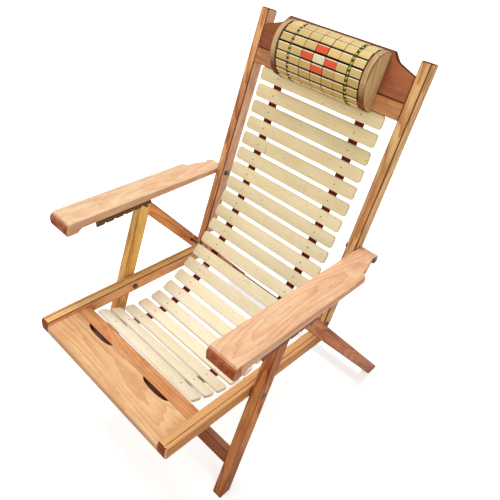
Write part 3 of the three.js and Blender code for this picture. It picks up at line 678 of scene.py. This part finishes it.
def strap_weave():
    material = bpy.data.materials.new("strap_weave")
    material.use_nodes = True
    tree = material.node_tree
    shader = tree.nodes["Principled BSDF"]
    place = tree.nodes.new("ShaderNodeTexCoord")
    weave = tree.nodes.new("ShaderNodeTexWave")
    weave.inputs["Scale"].default_value = 260.0
    weave.inputs["Distortion"].default_value = 1.5
    colour = mixed(tree, weave.outputs["Fac"], STRAP_DARK, STRAP_LIGHT)
    bump = tree.nodes.new("ShaderNodeBump")
    bump.inputs["Strength"].default_value = 0.5
    bump.inputs["Distance"].default_value = 0.0004
    linked(
        tree, (place.outputs["Object"], weave.inputs["Vector"]), (colour, shader.inputs["Base Color"]),
        (weave.outputs["Fac"], bump.inputs["Height"]), (bump.outputs["Normal"], shader.inputs["Normal"]),
    )
    shader.inputs["Roughness"].default_value = 0.85
    shader.inputs["Specular IOR Level"].default_value = 0.15
    shader.inputs["Sheen Weight"].default_value = 0.05
    return material


def cut_across(shell, foot, head):
    """Cuts a strap across at even steps along the run of slats it carries."""
    for step in range(STRAP_CUTS + 1):
        share = (1 + 2 * STRAP_PAST_SLATS) * step / STRAP_CUTS - STRAP_PAST_SLATS
        everything = [*shell.verts, *shell.edges, *shell.faces]
        bmesh.ops.bisect_plane(shell, geom=everything, plane_co=foot.lerp(head, share), plane_no=head - foot)


strap_brown = strap_weave()
for run, count in SLAT_RUNS.items():
    run_ends = slat_middle(f"{run}_slat_{count}"), slat_middle(f"{run}_slat_1")
    for side in ("left", "right"):
        strap = eased(f"{run}_strap_{side}", 0.0003, reshape=lambda shell: cut_across(shell, *run_ends))
        dressed(strap, f"{run}_strap_{side}", strap_brown, MAT_BENDS[run])


# Nail heads
# One small brown nail with a low domed head holds each slat to each strap. Geometry Nodes sets one
# head at each crossing.
NAIL_RADIUS = 0.0021
NAIL_RISE = 0.0009
NAIL_SIDES = 10
NAIL_RINGS = 3
STRAP_HALF = 0.134


def front_face(node):
    """The middle of a slat's sitter-side face and that face's normal."""
    mesh = frame["nodes"][node].data
    areas = {}
    for face in mesh.polygons:
        key = tuple(round(axis, 1) for axis in face.normal)
        areas.setdefault(key, []).append(face)
    broad = sorted(areas.values(), key=lambda faces: -sum(face.area for face in faces))[:2]
    sitter_side = max(broad, key=lambda faces: faces[0].normal.z - faces[0].normal.y)
    area = sum(face.area for face in sitter_side)
    middle = sum((face.center * face.area for face in sitter_side), Vector()) / area
    return middle, sitter_side[0].normal.normalized()


def plain_material(name, colour, rough, metal=0.0, grain=300.0, dark_share=0.7):
    """A small part's finish: a fine two-tone grain with a matching bump."""
    material = bpy.data.materials.new(name)
    material.use_nodes = True
    tree = material.node_tree
    shader = tree.nodes["Principled BSDF"]
    place = tree.nodes.new("ShaderNodeTexCoord")
    speckle = noise_along(tree, place.outputs["Object"], (grain, grain, grain), 3.0)
    dark = tuple(channel * dark_share for channel in colour)
    bump = tree.nodes.new("ShaderNodeBump")
    bump.inputs["Strength"].default_value = 0.15
    bump.inputs["Distance"].default_value = 0.0003
    linked(
        tree, (mixed(tree, ranged(tree, speckle, 0.35, 0.65), colour, dark), shader.inputs["Base Color"]),
        (ranged(tree, speckle, 0.3, 0.7, rough * 0.8, rough * 1.2), shader.inputs["Roughness"]),
        (speckle, bump.inputs["Height"]), (bump.outputs["Normal"], shader.inputs["Normal"]),
    )
    shader.inputs["Metallic"].default_value = metal
    return material


def scattered(name, template, points, material, attributes=()):
    """One template mesh set at every point by Geometry Nodes. A point is (place, rotation Euler, values)."""
    cloud = bpy.data.meshes.new(name + "_places")
    cloud.from_pydata([place for place, _, _ in points], [], [])
    turn = cloud.attributes.new("turn", "FLOAT_VECTOR", "POINT")
    for index, (_, euler, _) in enumerate(points):
        turn.data[index].vector = euler
    for column, attribute in enumerate(attributes):
        layer = cloud.attributes.new(attribute, "FLOAT", "POINT")
        for index, (_, _, values) in enumerate(points):
            layer.data[index].value = values[column]
    piece = bpy.data.objects.new(name, cloud)
    bpy.context.scene.collection.objects.link(piece)
    source = bpy.data.objects.new(name + "_template", template)
    bpy.context.scene.collection.objects.link(source)
    tree = bpy.data.node_groups.new(name + "_scatter", "GeometryNodeTree")
    tree.interface.new_socket("Places", in_out="INPUT", socket_type="NodeSocketGeometry")
    shape_socket = tree.interface.new_socket("Shape", in_out="INPUT", socket_type="NodeSocketObject")
    tree.interface.new_socket("Geometry", in_out="OUTPUT", socket_type="NodeSocketGeometry")
    given = tree.nodes.new("NodeGroupInput")
    made = tree.nodes.new("NodeGroupOutput")
    shape = tree.nodes.new("GeometryNodeObjectInfo")
    instances = tree.nodes.new("GeometryNodeInstanceOnPoints")
    turn_value = tree.nodes.new("GeometryNodeInputNamedAttribute")
    turn_value.data_type = "FLOAT_VECTOR"
    turn_value.inputs["Name"].default_value = "turn"
    to_rotation = tree.nodes.new("FunctionNodeEulerToRotation")
    realize = tree.nodes.new("GeometryNodeRealizeInstances")
    paint = tree.nodes.new("GeometryNodeSetMaterial")
    paint.inputs["Material"].default_value = material
    linked(
        tree, (given.outputs["Places"], instances.inputs["Points"]),
        (given.outputs["Shape"], shape.inputs["Object"]),
        (shape.outputs["Geometry"], instances.inputs["Instance"]),
        (turn_value.outputs["Attribute"], to_rotation.inputs["Euler"]),
        (to_rotation.outputs["Rotation"], instances.inputs["Rotation"]),
        (instances.outputs["Instances"], realize.inputs["Geometry"]),
        (realize.outputs["Geometry"], paint.inputs["Geometry"]),
        (paint.outputs["Geometry"], made.inputs["Geometry"]),
    )
    modifier = piece.modifiers.new("scatter", "NODES")
    modifier.node_group = tree
    modifier[shape_socket.identifier] = source
    evaluated = piece.evaluated_get(bpy.context.evaluated_depsgraph_get())
    plain = bpy.data.meshes.new_from_object(evaluated)
    piece.modifiers.clear()
    piece.data = plain
    bpy.data.objects.remove(source)
    for face in plain.polygons:
        face.use_smooth = True
    return piece


def dome(radius, rise):
    """A low dome on the XY plane, its top along +Z, closed underneath."""
    shell = bmesh.new()
    layers = []
    for ring in range(NAIL_RINGS):
        angle = math.pi / 2 * ring / NAIL_RINGS
        layers.append([
            shell.verts.new((
                radius * math.cos(angle) * math.cos(2 * math.pi * k / NAIL_SIDES),
                radius * math.cos(angle) * math.sin(2 * math.pi * k / NAIL_SIDES),
                rise * math.sin(angle),
            ))
            for k in range(NAIL_SIDES)
        ])
    top = shell.verts.new((0, 0, rise))
    for low, high in zip(layers, layers[1:]):
        for k in range(NAIL_SIDES):
            shell.faces.new((low[k], low[(k + 1) % NAIL_SIDES], high[(k + 1) % NAIL_SIDES], high[k]))
    for k in range(NAIL_SIDES):
        shell.faces.new((layers[-1][k], layers[-1][(k + 1) % NAIL_SIDES], top))
    shell.faces.new(list(reversed(layers[0])))
    mesh = bpy.data.meshes.new("dome")
    shell.to_mesh(mesh)
    shell.free()
    return mesh


nail_brown = plain_material("nail_brown", (0.42, 0.20, 0.12), 0.45, metal=0.3)
for run, count in SLAT_RUNS.items():
    nail_points = []
    for number in range(1, count + 1):
        middle, normal = front_face(f"{run}_slat_{number}")
        euler = normal.to_track_quat("Z", "Y").to_euler()
        for x in (-STRAP_HALF, STRAP_HALF):
            nail_points.append(((x, middle.y, middle.z), euler, ()))
    nails = scattered(f"{run}_nails", dome(NAIL_RADIUS, NAIL_RISE), nail_points, nail_brown)
    if MAT_BENDS[run]:
        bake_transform(nails)
    else:
        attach(nails, body_of(f"{run}_slat_1"))


# Bolts, pins and the hook rod
# Plain steel with a dull zinc coat: the bolts that the boards turn on, the legs' top pins, and the long rod
# that the rear legs hook over.
zinc = plain_material("dull_zinc", (0.17, 0.16, 0.15), 0.42, metal=1.0, grain=420.0, dark_share=0.6)
for node in ("leg_pivot_bolt", "back_pivot_bolt", "arm_pivot_bolt", "apex_pin"):
    for side in ("left", "right"):
        dressed(eased(f"{node}_{side}", 0.0005), f"{node}_{side}", zinc)
dressed(eased("hook_rod", 0.0005), "hook_rod", zinc)


# Pillow body and caps
# A D-shaped wooden roll covered in dark cloth, with a flat cap of oiled brown wood on each end. The cloth is
# drawn in by a tile's thickness, so that the tiles bring the roll back to its size.
CAP_LIGHT = (0.68, 0.47, 0.24)
CAP_DARK = (0.46, 0.26, 0.10)
CAP_UNDER = ((0, -0.42, -0.9),)
CLOTH_SHRINK = 0.0028
PILLOW_MIDDLE = 0.010
PILLOW_HALF = 0.1277
PILLOW_DEEP = 0.066
PILLOW_CROWN = 0.0025


def cap_outline(node):
    """The cap's side view as (along the section from its foot, y, z) points, and the section's middle."""
    mesh = frame["nodes"][node].data
    outer = max(vertex.co.x for vertex in mesh.vertices)
    rim = {(round(v.co.y, 6), round(v.co.z, 6)) for v in mesh.vertices if v.co.x > outer - 1e-5}
    middle = Vector((0, sum(y for y, _ in rim) / len(rim), sum(z for _, z in rim) / len(rim)))
    ordered = sorted(rim, key=lambda p: math.atan2(p[1] - middle.z, p[0] - middle.y))
    gaps = [math.dist(ordered[k], ordered[(k + 1) % len(ordered)]) for k in range(len(ordered))]
    flat_side = gaps.index(max(gaps))
    ordered = ordered[flat_side + 1:] + ordered[:flat_side + 1]
    if ordered[0][1] > ordered[-1][1]:
        ordered.reverse()
    return ordered, middle


section, section_middle = cap_outline("pillow_cap_right")
foot, head = Vector((0, *section[0])), Vector((0, *section[-1]))
back_middle = (foot + head) / 2
back_line = (head - foot).normalized()
section_lengths = [0.0]
for before, after in zip(section, section[1:]):
    section_lengths.append(section_lengths[-1] + math.dist(before, after))


def on_section(arc):
    """The point of the section that far along it, and the outward normal there."""
    arc = min(max(arc, 0.0), section_lengths[-1] - 1e-6)
    index = max(k for k in range(len(section) - 1) if section_lengths[k] <= arc)
    share = (arc - section_lengths[index]) / (section_lengths[index + 1] - section_lengths[index])
    before, after = Vector((0, *section[index])), Vector((0, *section[index + 1]))
    along = (after - before).normalized()
    normal = along.cross(Vector((1, 0, 0)))
    point = before.lerp(after, share)
    if normal.dot(point - section_middle) < 0:
        normal.negate()
    return point, normal


def crowned(point, x):
    """A point of the section moved out as the roll swells towards its middle."""
    share = 1 - ((x - PILLOW_MIDDLE) / PILLOW_HALF) ** 2
    outward = point - back_middle
    from_back = (outward - back_line * outward.dot(back_line)).length
    return point + outward * PILLOW_CROWN / PILLOW_DEEP * share * min(1.0, from_back / (PILLOW_DEEP / 2))


# The cloth's own dark colour is made near-black as painted shade for the gaps between the tiles.
cloth_brown = plain_material("pillow_cloth", (0.012, 0.008, 0.005), 0.95, grain=900.0, dark_share=0.5)
pillow_core = eased("pillow", 0.001)
for vertex in pillow_core.data.vertices:
    from_middle = Vector((0, vertex.co.y - section_middle.y, vertex.co.z - section_middle.z))
    vertex.co -= from_middle.normalized() * CLOTH_SHRINK
dressed(pillow_core, "pillow", cloth_brown)
for side, offset in (("left", 12.7), ("right", 13.9)):
    cap_oil = board_varnish(
        "pillow_cap_oil_" + side, STILE_TURN, CAP_LIGHT, CAP_DARK, figure=0.7, blotch=0.3, offset=offset,
    )
    # Painted shade: the caps' down-facing faces darken towards the stain colour.
    dressed(eased("pillow_cap_" + side, 0.0012, darkened=CAP_UNDER), "pillow_cap_" + side, cap_oil)


# Pillow tiles
# Small polished bamboo tiles on cords, seven to a row. Four tiles near the middle are red, in a diamond
# around a pale one, and the upper edge of each tile stands a little proud.
TILE_PITCH = 0.0353
ROW_PITCH = 0.0224
FIRST_ROW = 0.0103
ROWS = 9
TILE_RISE = 0.0028
TILE_LEAN = 4.5
TILE_LEAN_SPREAD = 1.6
TILE_SHIFT_SPREAD = 0.0003
TILE_TINT_SPREAD = 0.5
TILE_SEAT = -CLOTH_SHRINK + 0.0002
TILE_GAP_ACROSS = 0.0022
TILE_GAP_ALONG = 0.0040
TILE_COLUMNS = [
    (-0.096, 0.036), (-0.0553, TILE_PITCH), (-0.020, TILE_PITCH), (0.0153, TILE_PITCH), (0.0506, TILE_PITCH),
    (0.0829, 0.0318), (0.1205, 0.0315),
]
WIDE_ROW_GAPS = {4: 0.0014, 5: 0.0014}
RED_TILES = {(3, 3), (3, 5), (2, 4), (4, 4)}
PALE_TILE = (3, 4)
# Painted shade: the lowest rows are darkened, most at the pillow's foot.
TILE_FOOT_SHADE = (0.98, 0.76, 0.52, 0.30, 0.14)
# Painted light: the top rows are paler towards the pillow's head.
TILE_HEAD_LIGHT = {6: 0.10, 7: 0.22, 8: 0.30}
TILE_LIGHT = (0.86, 0.62, 0.24)
TILE_DARK = (0.56, 0.35, 0.10)
TILE_RED = (0.83, 0.105, 0.035)
TILE_PALE = (0.86, 0.76, 0.47)
TILE_RIM_HIGHLIGHT = (0.96, 0.88, 0.60)
TILE_RIM_WIDE = 0.0012


def tile_mesh(wide, high, rise):
    """One tile, its back on the XY plane: X across the pillow, Y along the section. The attribute "rim" marks
    its upper edge, which is lightened as a painted highlight."""
    shell = bmesh.new()
    bmesh.ops.create_cube(shell, size=1.0)
    bmesh.ops.scale(shell, vec=(wide, high, rise), verts=shell.verts)
    bmesh.ops.translate(shell, vec=(0, 0, rise / 2), verts=shell.verts)
    upper = [edge for edge in shell.edges if max(vertex.co.z for vertex in edge.verts) > rise * 0.9]
    bmesh.ops.bevel(shell, geom=upper, offset=rise * 0.28, segments=2, affect="EDGES", profile=0.6)
    for vertex in shell.verts:
        if vertex.co.y > high * 0.4 and vertex.co.z > rise * 0.9:
            vertex.co.y -= TILE_RIM_WIDE
    mesh = bpy.data.meshes.new("tile")
    shell.to_mesh(mesh)
    shell.free()
    rim = mesh.attributes.new("rim", "FLOAT", "FACE")
    for face in mesh.polygons:
        rim.data[face.index].value = float(face.normal.y > 0.2)
    return mesh


def tile_bamboo():
    material = bpy.data.materials.new("tile_bamboo")
    material.use_nodes = True
    tree = material.node_tree
    shader = tree.nodes["Principled BSDF"]
    place = tree.nodes.new("ShaderNodeTexCoord")
    masks = {}
    for label in ("tint", "red", "pale_and_lit", "rim"):
        masks[label] = tree.nodes.new("ShaderNodeAttribute")
        masks[label].attribute_name = label
    fibres = ranged(tree, noise_along(tree, place.outputs["Object"], (14.0, 500.0, 500.0), 3.0), 0.32, 0.68)
    tone = calculated(tree, "ADD", calculated(tree, "MULTIPLY", fibres, 0.3), masks["tint"].outputs["Fac"])
    colour = mixed(tree, tone, TILE_LIGHT, TILE_DARK)
    colour = mixed(tree, masks["pale_and_lit"].outputs["Fac"], colour, TILE_PALE)
    colour = mixed(tree, masks["red"].outputs["Fac"], colour, TILE_RED)
    # Painted highlight: each tile's upper edge is lightened.
    colour = mixed(tree, calculated(tree, "MULTIPLY", masks["rim"].outputs["Fac"], 0.8), colour, TILE_RIM_HIGHLIGHT)
    bump = tree.nodes.new("ShaderNodeBump")
    bump.inputs["Strength"].default_value = 0.15
    bump.inputs["Distance"].default_value = 0.0003
    linked(
        tree, (colour, shader.inputs["Base Color"]),
        (ranged(tree, fibres, 0.0, 1.0, 0.42, 0.56), shader.inputs["Roughness"]),
        (fibres, bump.inputs["Height"]), (bump.outputs["Normal"], shader.inputs["Normal"]),
    )
    shader.inputs["Specular IOR Level"].default_value = 0.3
    return material


def laid_on_section(x, arc, lift):
    """A place on the pillow and the Euler that lays a tile's X across and its Z outward."""
    point, normal = on_section(arc)
    point = crowned(point, x)
    along = normal.cross(Vector((1, 0, 0)))
    turn = Matrix((Vector((1, 0, 0)), along, normal)).transposed().to_euler()
    return Vector((x, point.y, point.z)) + normal * lift, turn


tile_finish = tile_bamboo()
tile_random = random.Random(7)
for column, (x, wide) in enumerate(TILE_COLUMNS):
    tile_points = []
    for row in range(ROWS):
        arc = FIRST_ROW + (row + 0.5) * ROW_PITCH
        arc += (WIDE_ROW_GAPS.get(row - 1, 0.0) - WIDE_ROW_GAPS.get(row, 0.0)) / 2
        shift = tile_random.uniform(-TILE_SHIFT_SPREAD, TILE_SHIFT_SPREAD)
        place, turn = laid_on_section(x + shift, arc, TILE_SEAT)
        turn.x += math.radians(TILE_LEAN + tile_random.uniform(-TILE_LEAN_SPREAD, TILE_LEAN_SPREAD))
        tint = tile_random.uniform(0.0, TILE_TINT_SPREAD)
        tint += TILE_FOOT_SHADE[row] if row < len(TILE_FOOT_SHADE) else 0.0
        pale_and_lit = 1.0 if (column, row) == PALE_TILE else TILE_HEAD_LIGHT.get(row, 0.0)
        values = (tint, float((column, row) in RED_TILES), pale_and_lit)
        tile_points.append((place, turn, values))
    tile = tile_mesh(wide - TILE_GAP_ACROSS, ROW_PITCH - TILE_GAP_ALONG, TILE_RISE)
    tiles = scattered(
        f"pillow_tiles_{column + 1}", tile, tile_points, tile_finish, ("tint", "red", "pale_and_lit"),
    )
    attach(tiles, body_of("pillow"))


# Pillow seams and beads
# Two flat cords part the outer columns of tiles from the inner five, one straw-coloured and one green. Small
# black beads sit on both, and a third row of them runs along the left cap.
SEAMS = [(-0.0754, "dark_seam"), (0.1016, "green_seam")]
SEAM_WIDE = 0.0046
SEAM_STEPS = 48
SEAM_MARGIN = 0.004
SEAM_SECTION = ((-0.5, -0.0015), (-0.4, 0.0), (0.4, 0.0), (0.5, -0.0015))
BEAD_PITCH = 0.0112
BEAD_FIRST = 0.010
BEAD_MARGIN = 0.012
BEAD_LIFT = -0.0006
BEAD_SIZE = (0.0052, 0.0056, 0.0022)
CAP_BEADS = -0.1158

seam_finishes = {
    "dark_seam": plain_material("dark_seam_cord", (0.78, 0.62, 0.32), 0.8, grain=700.0),
    "green_seam": plain_material("green_seam_cord", (0.80, 0.82, 0.05), 0.8, grain=700.0),
}
bead_black = plain_material("bead_black", (0.012, 0.010, 0.008), 0.4, grain=500.0)
for seam_x, seam_name in SEAMS:
    cord = bpy.data.meshes.new(seam_name)
    corners, faces = [], []
    for step in range(SEAM_STEPS + 1):
        arc = SEAM_MARGIN + (section_lengths[-1] - 2 * SEAM_MARGIN) * step / SEAM_STEPS
        point, normal = on_section(arc)
        point = crowned(point, seam_x)
        for dx, lift in SEAM_SECTION:
            corners.append(Vector((seam_x + dx * SEAM_WIDE, point.y, point.z)) + normal * lift)
    for step in range(SEAM_STEPS):
        for k in range(4):
            a, b = step * 4 + k, step * 4 + (k + 1) % 4
            faces.append((a, b, b + 4, a + 4))
    faces.append((0, 1, 2, 3))
    last = SEAM_STEPS * 4
    faces.append((last + 3, last + 2, last + 1, last))
    cord.from_pydata(corners, [], faces)
    cord_piece = bpy.data.objects.new(seam_name, cord)
    bpy.context.scene.collection.objects.link(cord_piece)
    shell = bmesh.new()
    shell.from_mesh(cord)
    bmesh.ops.recalc_face_normals(shell, faces=shell.faces)
    shell.to_mesh(cord)
    shell.free()
    cord.materials.append(seam_finishes[seam_name])
    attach(cord_piece, body_of("pillow"))
bead_points = []
bead_count = int((section_lengths[-1] - BEAD_MARGIN) / BEAD_PITCH)
for bead_x in (SEAMS[0][0], SEAMS[1][0], CAP_BEADS):
    for k in range(bead_count):
        place, turn = laid_on_section(bead_x, BEAD_FIRST + k * BEAD_PITCH, BEAD_LIFT)
        bead_points.append((place, turn, ()))
beads = scattered("pillow_beads", tile_mesh(*BEAD_SIZE), bead_points, bead_black)
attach(beads, body_of("pillow"))
